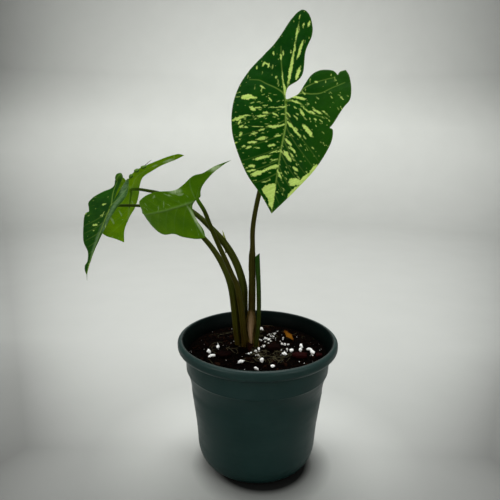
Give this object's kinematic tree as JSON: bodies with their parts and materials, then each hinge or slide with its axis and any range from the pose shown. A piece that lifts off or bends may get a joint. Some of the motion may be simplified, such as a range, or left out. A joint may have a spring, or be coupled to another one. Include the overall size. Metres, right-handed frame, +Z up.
{
  "type": "potted arrowhead plant",
  "caption": "Young arrowhead plant with dark green variegated leaves on thin petioles, growing in a round dark green nursery pot of potting mix with perlite.",
  "frame": {"origin": "centre of the pot's foot, on the surface it stands on", "axes": "+Z up along the pot's axis; -Y is the side the tall leaf faces; the three smaller leaves lean out towards -X"},
  "size_m": [0.178, 0.1101, 0.3069],
  "materials": {
    "pot_plastic": "satin",
    "potting_mix": "matte",
    "leaf_dark": "satin",
    "leaf_light": "satin",
    "petiole_skin": "satin",
    "cut_stem": "satin",
    "sheath_skin": "matte",
    "perlite": "matte",
    "bark": "matte",
    "dry_flake": "matte"
  },
  "bodies": {
    "root": {"nursery_pot": "pot_plastic", "potting_mix": "potting_mix", "tall_petiole": "petiole_skin", "middle_petiole": "petiole_skin", "upper_petiole": "petiole_skin", "lower_petiole": "petiole_skin", "cut_petiole": "cut_stem", "basal_sheath": "sheath_skin", "tall_leaf_blade": "leaf_dark", "lower_leaf_blade": "leaf_dark", "middle_leaf_blade": "leaf_light", "upper_leaf_blade": "leaf_light", "perlite_01": "perlite", "perlite_02": "perlite", "perlite_03": "perlite", "perlite_04": "perlite", "perlite_05": "perlite", "perlite_06": "perlite", "perlite_07": "perlite", "perlite_08": "perlite", "perlite_09": "perlite", "perlite_10": "perlite", "perlite_11": "perlite", "perlite_12": "perlite", "perlite_13": "perlite", "perlite_14": "perlite", "bark_chip_01": "bark", "bark_chip_02": "bark", "bark_chip_03": "bark", "bark_chip_04": "bark", "dry_flake": "dry_flake"}
  },
  "joints": []
}
